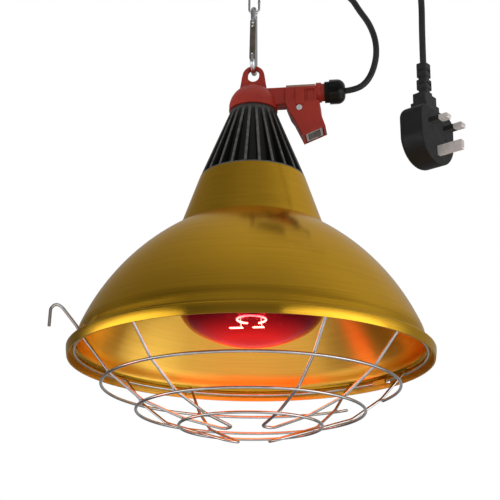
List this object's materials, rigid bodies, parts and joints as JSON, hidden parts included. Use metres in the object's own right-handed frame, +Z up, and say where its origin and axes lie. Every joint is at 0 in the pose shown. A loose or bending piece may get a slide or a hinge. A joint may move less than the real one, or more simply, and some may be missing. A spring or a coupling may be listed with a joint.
{
  "type": "heat lamp",
  "caption": "Hanging heat lamp for young animals: spun conical shade with hinged wire guard, ribbed neck, switched cap with eyelet, snap hook, chain and mains lead with plug.",
  "frame": {"origin": "inside top of the S-hook's upper bend, where the lamp hangs on its support", "axes": "+Z up, the shade's axis; +X towards the switch arm and lead; -Y the pictured front"},
  "size_m": [0.3306, 0.3, 0.5306],
  "materials": {
    "zinc_steel": "zinc plated",
    "gate_steel": "pressed steel",
    "black_rubber": "matt",
    "black_plastic": "moulded",
    "brass": "bright",
    "porcelain": "glazed",
    "red_plastic": "semi-matt moulded",
    "grey_plastic": "moulded",
    "ruby_glass": "ruby lacquered face, silvered back",
    "clear_glass": "clear",
    "cap_metal": "bright",
    "gold_aluminium": "gold anodised, spun",
    "chrome_wire": "chromed"
  },
  "bodies": {
    "hook": {"hang_hook": "zinc_steel"},
    "chain": {"chain_link_1": "zinc_steel", "chain_link_2": "zinc_steel", "chain_link_3": "zinc_steel", "chain_link_4": "zinc_steel", "chain_link_5": "zinc_steel", "snap_hook_frame": "zinc_steel", "snap_hook_pin": "zinc_steel", "cord_to_lamp": "black_rubber", "cord_coil": "black_rubber", "cord_to_plug": "black_rubber", "coil_tie": "black_plastic", "plug_strain_relief": "black_rubber", "plug_body": "black_plastic", "plug_fuse_cover": "black_plastic", "plug_fuse": "porcelain", "plug_earth_pin": "brass", "plug_line_pin": "brass", "plug_neutral_pin": "brass", "plug_pin_sleeves": "black_plastic"},
    "gate": {"snap_hook_gate": "gate_steel"},
    "lamp": {"cap": "red_plastic", "arm_lid": "red_plastic", "terminal_block": "grey_plastic", "switch_housing": "red_plastic", "switch_body": "grey_plastic", "cover_screws": "zinc_steel", "gland_body": "black_plastic", "gland_seal": "black_rubber", "gland_nut": "black_plastic", "neck": "black_plastic", "neck_screws": "zinc_steel", "lampholder": "porcelain", "screw_shell": "brass", "centre_contact": "brass", "holder_terminals": "brass", "holder_bridge": "zinc_steel", "holder_screws": "zinc_steel", "shade": "gold_aluminium"},
    "rocker": {"rocker": "grey_plastic"},
    "bulb": {"bulb_glass": "ruby_glass", "bulb_shell": "cap_metal", "bulb_insulator": "black_plastic", "bulb_tip": "cap_metal", "bulb_stem": "clear_glass", "bulb_filament": "cap_metal"},
    "guard": {"guard_top_ring": "chrome_wire", "guard_ring_upper": "chrome_wire", "guard_ring_middle": "chrome_wire", "guard_ring_lower": "chrome_wire", "guard_hairpin_1": "chrome_wire", "guard_hairpin_2": "chrome_wire", "guard_hairpin_3": "chrome_wire", "guard_latch_hairpin": "chrome_wire"}
  },
  "joints": [
    {"name": "chain_swing", "type": "hinge", "parent": "hook", "child": "chain", "pos_m": [0, 0, -0.04045], "axis": [1, 0, 0], "range_deg": [-15, 15]},
    {"name": "lamp_swing", "type": "hinge", "parent": "chain", "child": "lamp", "pos_m": [0, 0, -0.19955], "axis": [0, 1, 0], "range_deg": [-12, 12], "deforming": ["cord_to_lamp"]},
    {"name": "gate_open", "type": "hinge", "parent": "chain", "child": "gate", "pos_m": [0, -0.0057, -0.15235], "axis": [1, 0, 0], "range_deg": [0, 20], "stiffness_Nm_per_rad": 0.02, "springref_deg": -20.05},
    {"name": "guard_swing", "type": "hinge", "parent": "lamp", "child": "guard", "pos_m": [0.10211, 0.10211, -0.45885], "axis": [0.7071, -0.7071, 0], "range_deg": [0, 45], "deforming": ["guard_latch_hairpin"]},
    {"name": "rocker_tilt", "type": "hinge", "parent": "lamp", "child": "rocker", "pos_m": [0.05346, 0, -0.26176], "axis": [0, -1, 0], "range_deg": [0, 16]},
    {"name": "bulb_screw", "type": "hinge", "parent": "lamp", "child": "bulb", "pos_m": [0, 0, -0.28385], "axis": [0, 0, -1], "range_deg": [0, 900]}
  ]
}
